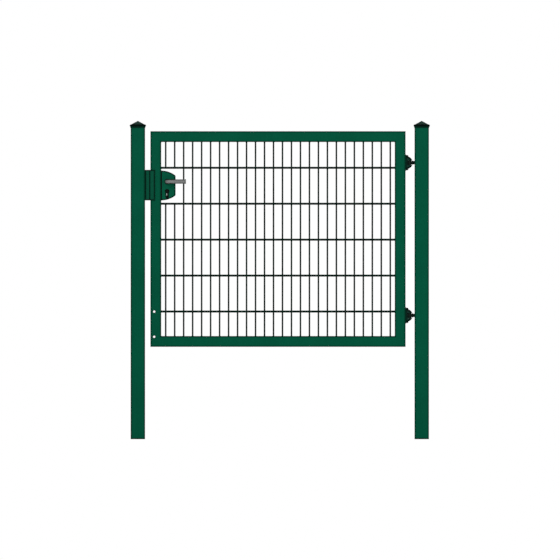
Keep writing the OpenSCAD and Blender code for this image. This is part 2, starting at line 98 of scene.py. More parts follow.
GREEN = srgb(1, 79, 56)
KEEP_GREEN = srgb(6, 73, 53)
LOCK_GREEN = srgb(3, 83, 59)
ROD_GREEN = srgb(5, 20, 15)
WELD_GREEN = srgb(3, 46, 33)
# Near black green, laid on the coats as painted shade along edges, rims and grooves
COAT_EDGE_SHADE = (0.0006, 0.006, 0.0035, 1)
COAT_STREAK = srgb(18, 84, 64)
COAT_DUST = srgb(120, 122, 112)
COAT_RUBBED = srgb(84, 108, 98)
HINGE_GREEN = srgb(18, 46, 38)
# Near black, as painted shade round the hinge body's rim and at its root
HINGE_SHADE = srgb(1, 11, 7)
HINGE_CHIP = srgb(70, 80, 76)
# Cap colours: facets painted greyer as a highlight from above; eave, bead and skirt's foot painted
# dark as shade
CAP_FACET_HIGHLIGHT = srgb(38, 62, 54)
CAP_EAVE_SHADE = srgb(4, 28, 21)
CAP_BEAD_SHADE = srgb(0, 10, 6)
CAP_SKIRT_SHADE = srgb(3, 42, 30)
CAP_GRAIN = (0.001, 0.006, 0.004, 1)
LEVER_GREY = srgb(121, 122, 121)
# Dark grey, as painted shade along the lever's top and bottom and as faint smudges of dirt
LEVER_SHADE_AND_SMUDGE = srgb(32, 35, 34)
NICKEL = srgb(14, 18, 16), srgb(24, 30, 27)
# Pale nickel for a painted highlight down the cylinder's leg
NICKEL_HIGHLIGHT = srgb(158, 162, 158), srgb(172, 176, 172)
PLASTIC_DUST = srgb(128, 130, 122)


# ---------- node materials ----------

# Depth in millimetres and strength of each kind of bump
PEEL = (0.05, 0.5)
BRUSHED = (0.02, 0.5)
GRAINED = (0.04, 0.6)
# Specular level of the dark coats
COAT_SPECULAR = 0.02


class Surface:
    """A node material. Its patterns are in metres in the object's own rest frame, so they ride."""

    def __init__(self, name, specular, metallic=0.0):
        self.material = bpy.data.materials.new(name)
        self.material.use_nodes = True
        self.tree = self.material.node_tree
        self.shader = self.tree.nodes["Principled BSDF"]
        self.shader.inputs["Metallic"].default_value = metallic
        self.shader.inputs["Specular IOR Level"].default_value = specular
        coords = self.node("ShaderNodeTexCoord")
        self.place = coords.outputs["Object"]
        self.normal = coords.outputs["Normal"]

    def node(self, kind, **settings):
        made = self.tree.nodes.new(kind)
        for key, value in settings.items():
            setattr(made, key, value)
        return made

    def feed(self, socket, value):
        """Links a socket into another, or sets it to a plain value."""
        if isinstance(value, bpy.types.NodeSocket):
            self.tree.links.new(value, socket)
        else:
            socket.default_value = value

    def math(self, operation, *values):
        made = self.node("ShaderNodeMath", operation=operation)
        for socket, value in zip(made.inputs, values):
            self.feed(socket, value)
        return made.outputs[0]

    def noise(self, scale, detail=3.0, stretch=(1, 1, 1), offset=(0, 0, 0)):
        """Noise with about scale patches to the metre."""
        moved = self.node("ShaderNodeMapping")
        self.feed(moved.inputs["Vector"], self.place)
        moved.inputs["Scale"].default_value = stretch
        moved.inputs["Location"].default_value = offset
        made = self.node("ShaderNodeTexNoise")
        self.feed(made.inputs["Vector"], moved.outputs[0])
        made.inputs["Scale"].default_value = scale
        made.inputs["Detail"].default_value = detail
        return made.outputs["Fac"]

    def spread(self, value, low, high, start=0.0, end=1.0, smooth=True):
        """Maps the range low to high onto start to end, and holds it there outside."""
        shape = "SMOOTHSTEP" if smooth else "LINEAR"
        made = self.node("ShaderNodeMapRange", interpolation_type=shape)
        for socket, given in zip(made.inputs, (value, low, high, start, end)):
            self.feed(socket, given)
        return made.outputs[0]

    def mix(self, amount, a, b):
        made = self.node("ShaderNodeMix", data_type="RGBA")
        self.feed(made.inputs[0], amount)
        self.feed(made.inputs[6], a)
        self.feed(made.inputs[7], b)
        return made.outputs[2]

    def over(self, base, colour, mask, amount):
        """Lays a colour over the base, by the mask times the amount."""
        return self.mix(self.math("MULTIPLY", mask, amount), base, colour)

    def axes(self, socket):
        """The x, y and z of a vector."""
        made = self.node("ShaderNodeSeparateXYZ")
        self.feed(made.inputs[0], socket)
        return made.outputs

    def offset(self, axis, centre):
        """How far a coordinate is from a centre, with no sign."""
        return self.math("ABSOLUTE", self.math("SUBTRACT", axis, centre))

    def length(self, a, b):
        """The length of a flat vector from its two parts."""
        squares = self.math("ADD", self.math("MULTIPLY", a, a), self.math("MULTIPLY", b, b))
        return self.math("SQRT", squares)

    def edges(self, low, high, width, full=0.0):
        """1 along the edges of a box and as far in as full, fading to 0 within the width."""
        near = []
        for axis, (a, b) in zip(self.axes(self.place), zip(low, high)):
            away, half = self.offset(axis, (a + b) / 2), (b - a) / 2
            near.append(self.spread(away, half - width, half - full))
        x, y, z = near
        pairs = [self.math("MULTIPLY", p, q) for p, q in ((x, y), (y, z), (x, z))]
        return self.math("MAXIMUM", pairs[0], self.math("MAXIMUM", pairs[1], pairs[2]))

    def finish(self, colour, roughness, height, bump_mm, strength):
        """Feeds the shader and gives the material."""
        self.feed(self.shader.inputs["Base Color"], colour)
        self.feed(self.shader.inputs["Roughness"], roughness)
        bump = self.node("ShaderNodeBump")
        bump.inputs["Distance"].default_value = bump_mm * MM
        bump.inputs["Strength"].default_value = strength
        self.feed(bump.inputs["Height"], height)
        self.feed(self.shader.inputs["Normal"], bump.outputs[0])
        return self.material


def powder_coat(name, colour, box=None, edge_shade=0.85, line=12 * MM, full=0.0, shade_band=None, rim=False):
    """Satin powder coat: orange peel, faint clouds, rain streaks, dust on top and painted shade
    along the edges.

    Painted shade darkens the edges of the box by the edge amount, within line of them and whole as
    far in as full.
    A band, from one x to another, gets painted shade too. With rim, the mesh says in its attribute
    where painted shade goes.
    """
    s = Surface(name, COAT_SPECULAR)
    cloud = s.spread(s.noise(7, 4), 0.3, 0.7)
    grit = s.spread(s.noise(420, 2), 0.25, 0.75)
    streak = s.spread(s.noise(1, 4, stretch=(60, 60, 2.4)), 0.42, 0.72)
    facing_up = s.spread(s.axes(s.normal)[2], 0.75, 0.98)
    dust = s.math("MULTIPLY", facing_up, s.spread(s.noise(45, 5), 0.3, 0.75))
    base = s.mix(cloud, shade(colour, 0.95), shade(colour, 1.06))
    base = s.over(base, shade(colour, 0.55), grit, 0.10)
    base = s.over(base, COAT_STREAK, streak, 0.10)
    base = s.over(base, COAT_DUST, dust, 0.08)
    # Painted shade along the rims that the mesh marks
    if rim:
        near = s.node("ShaderNodeAttribute", attribute_name="rim").outputs["Fac"]
        base = s.over(base, COAT_EDGE_SHADE, s.spread(near, 0.1, 1.0), edge_shade)
    # Painted shade across the band
    if shade_band:
        away, half = s.offset(s.axes(s.place)[0], sum(shade_band) / 2), (shade_band[1] - shade_band[0]) / 2
        base = s.over(base, COAT_EDGE_SHADE, s.spread(away, half + 1 * MM, half), 0.9)
    # Painted shade along the box's edges, standing in for the shade of rounded corners; the
    # lighter specks there are rubbed paint
    if box:
        mask = s.edges(*box, line, full)
        wobble = s.spread(s.noise(90, 3), 0.2, 0.8, 0.82, 1.0)
        base = s.over(base, COAT_EDGE_SHADE, s.math("MULTIPLY", mask, wobble), edge_shade)
        specks = s.spread(s.noise(260, 4, offset=(3, 1, 7)), 0.70, 0.74)
        rubbed = s.math("MULTIPLY", s.math("GREATER_THAN", mask, 0.8), specks)
        base = s.over(base, COAT_RUBBED, rubbed, 0.3)
    worn = s.spread(s.noise(30, 4), 0.3, 0.7, 0.45, 0.55)
    roughness = s.math("ADD", worn, s.math("MULTIPLY", dust, 0.2))
    return s.finish(base, roughness, s.noise(640, 2), *PEEL)


def steel(name, colour, rough, grain=(1, 1, 1), metallic=1.0, specular=0.3):
    """Worn steel: fine grain, cloudy roughness and darker stains."""
    s = Surface(name, specular, metallic)
    brushed = s.noise(300, 3, grain)
    stain = s.spread(s.noise(55, 4), 0.35, 0.7)
    base = s.mix(s.spread(brushed, 0.3, 0.7), shade(colour, 0.85), shade(colour, 1.12))
    base = s.over(base, shade(colour, 0.45), stain, 0.3)
    roughness = s.math("ADD", s.spread(brushed, 0.2, 0.8, rough - 0.06, rough + 0.06),
                       s.math("MULTIPLY", stain, 0.12))
    return s.finish(base, roughness, brushed, *BRUSHED)


def moulded(name, colour, rough, specular, texture):
    """Moulded plastic or rubber: fine grain, paler and darker patches and a little dust on top."""
    s = Surface(name, specular)
    cloud = s.spread(s.noise(40, 4), 0.3, 0.75)
    facing_up = s.spread(s.axes(s.normal)[2], 0.3, 0.95)
    dust = s.math("MULTIPLY", facing_up, s.spread(s.noise(120, 5), 0.35, 0.75))
    base = s.mix(cloud, shade(colour, 0.8), shade(colour, 1.2))
    base = s.over(base, PLASTIC_DUST, dust, 0.10)
    roughness = s.spread(cloud, 0, 1, rough - 0.06, rough + 0.08)
    return s.finish(base, roughness, s.noise(texture, 2), *GRAINED)


def cap_coat(name, low, high):
    """Moulded cap: greyer facets as a painted highlight, and painted shade: dark hips, a dark
    eave, a near black bead and a dark green foot to the skirt.
    """
    s = Surface(name, COAT_SPECULAR)
    x, y, z = s.axes(s.place)
    wobble = s.spread(s.noise(60, 4), 0.3, 0.7, -0.6 * MM, 0.6 * MM)
    below_peak = s.math("ADD", s.math("SUBTRACT", high.z, z), wobble)
    dx, dy = s.offset(x, (low.x + high.x) / 2), s.offset(y, (low.y + high.y) / 2)
    # Painted shade along the hips of the pyramid
    hip_shade = s.spread(s.offset(dx, dy), 6 * MM, 3 * MM)
    base = s.over(CAP_FACET_HIGHLIGHT, CAP_BEAD_SHADE, hip_shade, 0.85)
    # Bands below the peak: painted shade on the eave, near black painted shade on the bead, darker
    # painted shade on the skirt's foot
    for start, whole, colour in ((16, 18, CAP_EAVE_SHADE), (20, 23, CAP_BEAD_SHADE), (29, 33, CAP_SKIRT_SHADE)):
        base = s.mix(s.spread(below_peak, start * MM, whole * MM), base, colour)
    grain = s.noise(700, 2)
    base = s.over(base, CAP_GRAIN, s.spread(grain, 0.3, 0.7), 0.15)
    return s.finish(base, s.spread(s.noise(40, 3), 0.3, 0.7, 0.5, 0.65), grain, *GRAINED)


def hinge_coat(name, centre, radius):
    """Dark coat on a hinge, with painted shade, almost black, round the rim of its half-round body
    and at its root.
    """
    s = Surface(name, COAT_SPECULAR)
    x, _, z = s.axes(s.place)
    dx, dz = s.math("SUBTRACT", x, centre.x), s.math("SUBTRACT", z, centre.z)
    # Painted shade round the rim of the half-round body and at its root
    rim = s.spread(s.length(dx, dz), radius - 11 * MM, radius - 7 * MM)
    root = s.spread(dx, 4 * MM, 0)
    cloud = s.spread(s.noise(70, 4), 0.3, 0.7)
    base = s.mix(cloud, shade(HINGE_GREEN, 0.85), shade(HINGE_GREEN, 1.15))
    base = s.over(base, HINGE_SHADE, s.math("MAXIMUM", rim, root), 0.9)
    base = s.over(base, HINGE_CHIP, s.spread(s.noise(300, 4), 0.70, 0.74), 0.4)
    return s.finish(base, s.spread(cloud, 0, 1, 0.42, 0.55), s.noise(640, 2), *PEEL)


def lever_coat(name, axis_z, radius):
    """Satin grey lever, brushed along its bar, with painted shade, near black, along its top and
    bottom.
    """
    s = Surface(name, 0.03, 0.15)
    brushed = s.noise(300, 3, (0.05, 1, 1))
    up = s.math("DIVIDE", s.math("SUBTRACT", s.axes(s.place)[2], axis_z), radius)
    # Painted shade along the bar's top and bottom, standing in for the round bar's shading
    painted_shade = s.math("MAXIMUM", s.spread(up, 0.54, 0.74), s.spread(up, -0.70, -0.90))
    smudge = s.spread(s.noise(55, 4), 0.4, 0.7)
    base = s.mix(s.spread(brushed, 0.3, 0.7), shade(LEVER_GREY, 0.9), shade(LEVER_GREY, 1.1))
    base = s.over(base, LEVER_SHADE_AND_SMUDGE, painted_shade, 0.97)
    base = s.over(base, LEVER_SHADE_AND_SMUDGE, smudge, 0.12)
    return s.finish(base, s.spread(brushed, 0.2, 0.8, 0.42, 0.54), brushed, *BRUSHED)


def cylinder_coat(name, axis_x, axis_z):
    """Dark nickel on the lock cylinder, with a painted highlight as a bright line down its leg."""
    s = Surface(name, 0.05, 0.3)
    x, _, z = s.axes(s.place)
    brushed = s.noise(300, 3, (1, 0.08, 1))
    # A painted highlight, a little left of the leg's middle, from below the plug down
    across = s.spread(s.offset(x, axis_x - 2.2 * MM), 2.1 * MM, 1.4 * MM)
    down = s.spread(z, axis_z - 10 * MM, axis_z - 13 * MM)
    fleck = s.spread(brushed, 0.3, 0.7)
    base = s.mix(s.math("MULTIPLY", across, down), s.mix(fleck, *NICKEL),
                 s.mix(fleck, *NICKEL_HIGHLIGHT))
    return s.finish(base, s.spread(brushed, 0.2, 0.8, 0.34, 0.46), brushed, *BRUSHED)


rod_coat = powder_coat("rod_coat", ROD_GREEN)
weld_coat = powder_coat("weld_coat", WELD_GREEN)
hinge_steel = steel("hinge_steel", srgb(20, 30, 26), 0.5, metallic=0.2, specular=0.04)
lock_steel = steel("lock_steel", srgb(150, 152, 150), 0.34, grain=(1, 1, 0.06))
plug_metal = steel("plug_metal", srgb(16, 18, 17), 0.5, metallic=0.3, specular=0.05)
black_plastic = moulded("black_plastic", srgb(6, 9, 8), 0.55, 0.03, 900)
rubber = moulded("rubber", srgb(8, 12, 10), 0.75, 0.05, 500)


# ---------- mesh helpers ----------

def circle(a, b, angle, radius):
    """The point at an angle on a circle in the plane of two unit vectors."""
    return (a * math.cos(angle) + b * math.sin(angle)) * radius


class Shape:
    """Vertices and faces gathered from lofted rings."""

    def __init__(self):
        self.verts = []
        self.faces = []

    def loft(self, rings, caps=True):
        """Skins closed rings that all have the same number of points."""
        base, n = len(self.verts), len(rings[0])
        self.verts += [v for ring in rings for v in ring]
        for i in range(len(rings) - 1):
            for j in range(n):
                a, b = base + i * n + j, base + i * n + (j + 1) % n
                self.faces.append((a, b, b + n, a + n))
        if caps:
            last = base + (len(rings) - 1) * n
            self.faces.append(tuple(range(base + n - 1, base - 1, -1)))
            self.faces.append(tuple(range(last, last + n)))

    def turn(self, profile, origin, axis, steps=24, caps=True):
        """Turns (radius, distance) pairs round an axis. Each may be a function of the angle."""
        axis = Vector(axis).normalized()
        if abs(axis.z) > 0.9:
            side = axis.orthogonal().normalized()
        else:
            side = axis.cross(Vector((0, 0, 1))).normalized()
        up = axis.cross(side)
        rings = []
        for radius, along in profile:
            ring = []
            for k in range(steps):
                a = 2 * math.pi * k / steps
                r = radius(a) if callable(radius) else radius
                h = along(a) if callable(along) else along
                ring.append(Vector(origin) + axis * h + circle(side, up, a, r))
            rings.append(ring)
        self.loft(rings, caps)

    def sweep(self, path, radii, steps):
        """A round bar along a path, with a radius for each of its points."""
        path = [Vector(p) for p in path]
        last = len(path) - 1
        tangents = [(path[min(i + 1, last)] - path[max(i - 1, 0)]).normalized()
                    for i in range(len(path))]
        side = tangents[0].orthogonal().normalized()
        rings = []
        for p, t, r in zip(path, tangents, radii):
            side = (side - t * side.dot(t)).normalized()
            up = t.cross(side)
            rings.append([p + circle(side, up, 2 * math.pi * k / steps, r) for k in range(steps)])
        self.loft(rings)

    def make(self, name, body, material, slot, sharp=35):
        """Makes the object. Edges that bend by more than sharp degrees stay crisp."""
        mesh = bpy.data.meshes.new(name)
        mesh.from_pydata(self.verts, [], self.faces)
        bm = bmesh.new()
        bm.from_mesh(mesh)
        bmesh.ops.recalc_face_normals(bm, faces=bm.faces)
        bm.to_mesh(mesh)
        bm.free()
        mesh.shade_smooth()
        mesh.set_sharp_from_angle(angle=math.radians(sharp))
        mesh.materials.append(material)
        made = bpy.data.objects.new(name, mesh)
        bpy.context.scene.collection.objects.link(made)
        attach(made, body)
        return made


def wave(i, amount, phase=0.0):
    """A small repeatable wobble for hand-made welds."""
    return amount * (math.sin(i * 1.7 + phase) + 0.6 * math.sin(i * 0.61 + 2.1 * phase))


def weld_run(shape, start, end, radius, phase):
    """A rippled weld bead from start to end."""
    start, end = Vector(start), Vector(end)
    ripple = 1.2 * MM
    count = max(6, int((end - start).length / ripple))
    path = [start.lerp(end, i / count) for i in range(count + 1)]
    sizes = [radius * (0.88 + 0.10 * (i % 2) + wave(i, 0.035, phase)) for i in range(count + 1)]
    sizes[0] = sizes[-1] = radius * 0.45
    shape.sweep(path, sizes, steps=10)


def hexagon(flat_radius, start):
    """The radius of a hexagon at each angle, for use in Shape.turn."""
    def radius(angle):
        return flat_radius / math.cos((angle + start) % SIXTH - SIXTH / 2)
    return radius


def cad_points(node):
    """Where the vertices of a CAD node are."""
    return [v.co for v in frame["nodes"][node].data.vertices]


def soften(node, width, material):
    """Stands in for a CAD node with the same solid, its sharp edges eased by a narrow bevel."""
    sharp = math.radians(30)
    source = frame["nodes"][node]
    mesh = source.data.copy()
    bm = bmesh.new()
    bm.from_mesh(mesh)
    bmesh.ops.remove_doubles(bm, verts=bm.verts, dist=1e-6)
    bmesh.ops.dissolve_limit(bm, angle_limit=math.radians(0.5), verts=bm.verts, edges=bm.edges)
    bm.to_mesh(mesh)
    bm.free()
    stale_normals = mesh.attributes.get("custom_normal")
    if stale_normals:
        mesh.attributes.remove(stale_normals)
    made = bpy.data.objects.new(node + "_eased", mesh)
    bpy.context.scene.collection.objects.link(made)
    mesh.materials.clear()
    mesh.materials.append(material)
    mesh.shade_smooth()
    mesh.set_sharp_from_angle(angle=sharp)
    bevel = made.modifiers.new("ease", "BEVEL")
    bevel.width = width
    bevel.segments = 2
    bevel.limit_method = "ANGLE"
    bevel.angle_limit = sharp
    bevel.harden_normals = True
    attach(made, source["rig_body"])
    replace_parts(made, node)


def wear(node, material):
    """Gives a CAD node its finished material."""
    for held in frame["nodes"][node].material_slots:
        held.material = material


# ---------- posts, frame tubes and caps ----------

# Each tube and post gets painted shade along its edges
for node in ("latch_post", "hinge_post", "latch_stile", "hinge_stile", "top_rail", "bottom_rail"):
    wear(node, powder_coat(node + "_coat", GREEN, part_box(node)))
for node in ("latch_post_cap", "hinge_post_cap"):
    soften(node, 0.5 * MM, cap_coat(node + "_coat", *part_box(node)))


# ---------- mesh of round rods with welds ----------

ROD_GAP = 15 * MM  # corners of one rod lie closer together than this
ROD_EASE = 0.6 * MM
END_WELD = 2.4 * MM

leaf_low, leaf_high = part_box("latch_stile")[0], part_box("hinge_stile")[1]
panel_low, panel_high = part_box("mesh_panel")
case_low, case_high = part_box("lock_case")


def runs(values):
    """The middle and the width of each group of numbers that lie closer than ROD_GAP."""
    values = sorted(values)
    groups = [[values[0]]]
    for v in values[1:]:
        if v - groups[-1][-1] > ROD_GAP:
            groups.append([])
        groups[-1].append(v)
    return [((g[0] + g[-1]) / 2, g[-1] - g[0]) for g in groups]


panel = cad_points("mesh_panel")
columns = runs({round(p.x, 4) for p in panel if p.z > panel_high.z - NEAR})
rows = runs({round(p.z, 4) for p in panel if p.x > panel_high.x - NEAR})
upright_r = columns[0][1] / 2
cross_r = rows[0][1] / 2
cross_y = panel_high.y - cross_r
row_heights = [z for z, _ in rows]
# The bay of the lock case, which the cut columns stop at
bay_low = max(z for z in row_heights if z < case_low.z)
bay_high = min(z for z in row_heights if z > case_high.z)
cut_columns = [x for x, _ in columns if x < case_high.x + 5 * MM]
first_whole = min(x for x, _ in columns if x not in cut_columns)

rods, welds = Shape(), Shape()


def rod(start, end, radius):
    """A round rod with eased ends."""
    axis = Vector(end) - Vector(start)
    length = axis.length
    rods.turn([(radius - ROD_EASE, 0), (radius, ROD_EASE), (radius, length - ROD_EASE),
               (radius - ROD_EASE, length)], start, axis, steps=14)


def end_weld(point, axis, radius, phase):
    """The fillet where a rod meets the frame."""
    def foot(angle):
        return radius + END_WELD + wave(angle * 3, 0.25 * MM, phase)
    welds.turn([(foot, 0.0), (radius + 0.9 * MM, 0.8 * MM), (radius - 0.2 * MM, END_WELD)],
               point, axis, steps=12)


def cross_weld(x, z, side, number):
    """The squashed bead between an upright and a cross rod."""
    r = upright_r * (1 + wave(number * 3 + z * 40, 0.06))
    welds.turn([(0.9 * MM, -2.0 * MM), (r * 1.18, -0.9 * MM), (r * 1.3, 0), (r * 1.1, 1.2 * MM),
                (0.9 * MM, 2.2 * MM)],
               (x, side * (upright_r + 0.2 * MM), z), (0, side, 0), steps=10)


for number, (x, _) in enumerate(columns):
    cut = x in cut_columns
    if cut:
        rod((x, 0, panel_low.z), (x, 0, bay_low + cross_r), upright_r)
        rod((x, 0, bay_high - cross_r), (x, 0, panel_high.z), upright_r)
    else:
        rod((x, 0, panel_low.z), (x, 0, panel_high.z), upright_r)
    end_weld((x, 0, panel_low.z), (0, 0, 1), upright_r, number)
    end_weld((x, 0, panel_high.z), (0, 0, -1), upright_r, number + 0.5)
    for z in row_heights:
        if not (cut and bay_low < z < bay_high):
            for side in (-1, 1):
                cross_weld(x, z, side, number)
for number, z in enumerate(row_heights):
    whole = not bay_low < z < bay_high
    start = panel_low.x if whole else first_whole - 2 * upright_r
    for side in (-1, 1):
        y = side * cross_y
        rod((start, y, z), (panel_high.x, y, z), cross_r)
        end_weld((panel_high.x, y, z), (-1, 0, 0), cross_r, number + side)
        if whole:
            end_weld((start, y, z), (1, 0, 0), cross_r, number - side)
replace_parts(rods.make("mesh_rods", "leaf", rod_coat, "mesh_paint"), "mesh_panel")
welds.make("mesh_welds", "leaf", rod_coat, "mesh_paint", sharp=60)


# ---------- lock case ----------

CORNER = 8 * MM
ARC_STEPS = 14
CORNER_STEPS = 7
# How far in from the outline, how far back from the face, and how much painted shade darkens the
# coat there, along the rounded rim and into the groove. The dip near the rim is the groove round
# the face.
CASE_STEPS = [(step_in * MM, back * MM, painted_shade) for step_in, back, painted_shade in (
    (0.0, 9, 0.0), (0.0, 2.6, 0.8), (0.25, 1.5, 1.0), (0.9, 0.5, 1.0), (2.4, 0, 1.0),
    (5.0, 0, 1.0), (5.4, 0.7, 1.0), (6.3, 0.7, 0.6), (6.8, 0.05, 0.3), (9.0, 0.05, 0.0))]

case_half = (case_high.z - case_low.z) / 2
case_z = (case_high.z + case_low.z) / 2
case_reach = case_high.x - case_low.x
case_face = case_high.y
side_half = max(p.z for p in cad_points("lock_case") if p.x > case_high.x - NEAR) - case_z
bulge = case_half - side_half
arc_r = (case_reach ** 2 + bulge ** 2) / (2 * bulge)


def case_ring(inset, y):
    """The D outline, pulled in by the inset except along the stile."""
    centre = case_half - arc_r
    corner_x = case_reach - CORNER
    corner_z = centre + math.sqrt((arc_r - CORNER) ** 2 - corner_x ** 2)
    tilt = math.atan2(corner_x, corner_z - centre)
    half = []
    for k in range(ARC_STEPS + 1):
        a = tilt * k / ARC_STEPS
        half.append(((arc_r - inset) * math.sin(a), centre + (arc_r - inset) * math.cos(a)))
    for k in range(1, CORNER_STEPS + 1):
        a = tilt + (QUARTER - tilt) * k / CORNER_STEPS
        r = CORNER - inset
        half.append((corner_x + r * math.sin(a), corner_z + r * math.cos(a)))
    ring = half + [(x, -z) for x, z in reversed(half)]
    return [Vector((case_low.x + x, y, case_z + z)) for x, z in ring]


rear_to_front = [(i, -(case_face - back), painted_shade) for i, back, painted_shade in reversed(CASE_STEPS)]
rear_to_front += [(i, case_face - back, painted_shade) for i, back, painted_shade in CASE_STEPS]
case_rings = [case_ring(i, y) for i, y, _ in rear_to_front]
shell = Shape()
shell.loft(case_rings)
# Painted shade along the case's rim and groove, where the mesh's rim attribute says
case_coat = powder_coat("case_coat", LOCK_GREEN, edge_shade=0.9, rim=True)
case_shell = shell.make("lock_case_shell", "leaf", case_coat, "lock_paint")
# How much painted shade each ring of the shell gets
rim = case_shell.data.attributes.new("rim", "FLOAT", "POINT")
rim.data.foreach_set("value", [painted_shade for ring, (_, _, painted_shade) in zip(case_rings, rear_to_front)
                               for _ in ring])
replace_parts(case_shell, "lock_case")


def seal_ring(x, grow):
    """A rectangle with soft corners round the case where it meets the stile."""
    half_z, half_y, r = case_half + grow, case_face + grow, 3 * MM
    ring = []
    for quarter, (y_side, z_side) in enumerate(((1, 1), (-1, 1), (-1, -1), (1, -1))):
        y, z = (half_y - r) * y_side, case_z + (half_z - r) * z_side
        for k in range(5):
            a = QUARTER * (quarter + k / 4)
            ring.append(Vector((x, y + r * math.cos(a), z + r * math.sin(a))))
    return ring


seal = Shape()
seal.loft([seal_ring(case_low.x + x * MM, grow * MM)
           for x, grow in ((0, 0.2), (0.6, 0.7), (3.4, 0.7), (4.4, 0.1))])
seal.make("case_seal", "leaf", rubber, "rubber")


# ---------- levers ----------

NECK_STOPS = (0.0, 0.3, 0.5, 0.6, 0.7, 0.8, 0.9, 0.96)
FLARE_START = 0.5  # the part of the neck that stays straight
FLARE = 0.9  # how much of the step from neck to bar the flare takes up
ELBOW_STEPS = 10
ELBOW_GAP = 0.4 * MM  # keeps the inside of the elbow from coming to a point
COLLAR = 6 * MM

spindle_low, spindle_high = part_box("spindle")
spindle_x = (spindle_low.x + spindle_high.x) / 2
spindle_z = (spindle_low.z + spindle_high.z) / 2


def lever(node, name):
    """A bar that leaves the case on a flared neck, bends once and ends in a narrow collar."""
    low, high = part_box(node)
    out = -1 if abs(low.y) > abs(high.y) else 1
    inner, outer = (high.y, low.y) if out < 0 else (low.y, high.y)
    tip_r = (high.z - low.z) / 2
    bar_r = spindle_x - low.x
    neck_r = max(p.x for p in cad_points(node) if abs(p.y - inner) < NEAR) - spindle_x
    swell = bar_r - neck_r
    bar_y = outer - out * tip_r
    bend = bar_r + ELBOW_GAP
    path, radii = [], []
    for t in NECK_STOPS:
        flare = max(0.0, (t - FLARE_START) / (1 - FLARE_START))
        path.append((spindle_x, inner + (bar_y - out * bend - inner) * t, spindle_z))
        radii.append(neck_r + swell * FLARE * (3 * flare ** 2 - 2 * flare ** 3))
    for k in range(ELBOW_STEPS + 1):
        a = QUARTER * k / ELBOW_STEPS
        path.append((spindle_x + bend * (1 - math.cos(a)),
                     bar_y - out * bend * (1 - math.sin(a)), spindle_z))
        radii.append(bar_r - (1 - FLARE) * swell * (1 - k / ELBOW_STEPS))
    collar = high.x - COLLAR
    for x, r in (((spindle_x + collar) / 2, bar_r),
                 (collar - 0.8 * MM, bar_r),
                 (collar - 0.3 * MM, bar_r - 0.5 * MM),
                 (collar, bar_r - 0.5 * MM),
                 (collar + 0.1 * MM, tip_r - 0.5 * MM),
                 (collar + 0.6 * MM, tip_r),
                 (high.x - 1.2 * MM, tip_r),
                 (high.x - 0.4 * MM, tip_r - 0.5 * MM),
                 (high.x - 0.05 * MM, tip_r - 1.4 * MM),
                 (high.x, tip_r - 3 * MM)):
        path.append((x, bar_y, spindle_z))
        radii.append(r)
    bar = Shape()
    bar.sweep(path, radii, steps=36)
    coat = lever_coat(name + "_coat", spindle_z, bar_r)
    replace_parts(bar.make(name, "handle", coat, "lever_grey", sharp=50), node)
    bush = Shape()
    profile = [(neck_r + wider * MM, along * MM) for wider, along in
               ((0.2, 0), (6.3, 0), (6.5, 1.0), (5.6, 2.0), (1.0, 2.8), (0.2, 2.6))]
    seat = out * (case_face - 0.3 * MM)
    bush.turn(profile, (spindle_x, seat, spindle_z), (0, out, 0), steps=36, caps=False)
    bush.make(name + "_bush", "leaf", black_plastic, "guard_plastic")


lever("front_lever", "front_lever_bar")
lever("rear_lever", "rear_lever_bar")


# ---------- lock cylinder and its guards ----------

GUARD_THICK = 2 * MM
GUARD_BORE = 6.4 * MM
HEAD_STEPS = 28
LEG_STEPS = 12

plug_low, plug_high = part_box("cylinder_plug")
plug_x, plug_z = (plug_low.x + plug_high.x) / 2, (plug_low.z + plug_high.z) / 2


def profile_ring(head_r, leg_r, foot_z, y):
    """The keyhole outline of a profile cylinder's guard."""
    start = -math.acos(leg_r / head_r)
    ring = []
    for k in range(HEAD_STEPS + 1):
        a = start + (math.pi - 2 * start) * k / HEAD_STEPS
        ring.append((head_r * math.cos(a), head_r * math.sin(a)))
    for k in range(LEG_STEPS + 1):
        a = math.pi + math.pi * k / LEG_STEPS
        ring.append((leg_r * math.cos(a), foot_z + leg_r * math.sin(a)))
    return [Vector((plug_x + x, y, plug_z + z)) for x, z in ring]


def guard(node, name, out):
    """A keyhole-shaped guard with an eased face, and the ring round the plug."""
    low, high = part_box(node)
    head_r = (high.x - low.x) / 2
    leg_r = max(p.x for p in cad_points(node) if p.z < plug_z - head_r) - plug_x
    foot_z = low.z + leg_r - plug_z
    plate = Shape()
    plate.loft([profile_ring(head_r - inset * MM, leg_r - inset * MM, foot_z,
                             out * (case_face + height * MM))
                for inset, height in ((0, 0), (0, 1.1), (0.3, 1.7), (1.0, GUARD_THICK / MM))])
    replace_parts(plate.make(name, "leaf", black_plastic, "guard_plastic"), node)
    ring = Shape()
    top = plug_low.y if out < 0 else plug_high.y
    wide = head_r - 0.5 * MM
    ring.turn([(GUARD_BORE, -0.5 * MM), (GUARD_BORE, 0.1 * MM), (GUARD_BORE + 0.5 * MM, 0.4 * MM),
               (9 * MM, 0.4 * MM), (wide - 1.5 * MM, -0.9 * MM), (wide, -2.2 * MM)],
              (plug_x, top, plug_z), (0, out, 0), steps=36, caps=False)
    ring.make(name + "_ring", "leaf", black_plastic, "guard_plastic")


guard("front_cylinder_guard", "front_guard", -1)
guard("rear_cylinder_guard", "rear_guard", 1)
wear("lock_cylinder", cylinder_coat("cylinder_coat", plug_x, plug_z))
wear("cylinder_plug", plug_metal)
wear("spindle", lock_steel)
for node in ("lock_body", "latch_bolt", "dead_bolt"):
    soften(node, 0.4 * MM, lock_steel)


# ---------- keep, and the screws of the keep and the forend ----------

GROOVE = 2.5 * MM  # width of the groove in the keep's front, which ends at the stile's edge
KEEP_GAP = 6 * MM  # from the forend to the face of the keep

keep_low, keep_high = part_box("keep_body")
groove_x = leaf_low.x - GROOVE
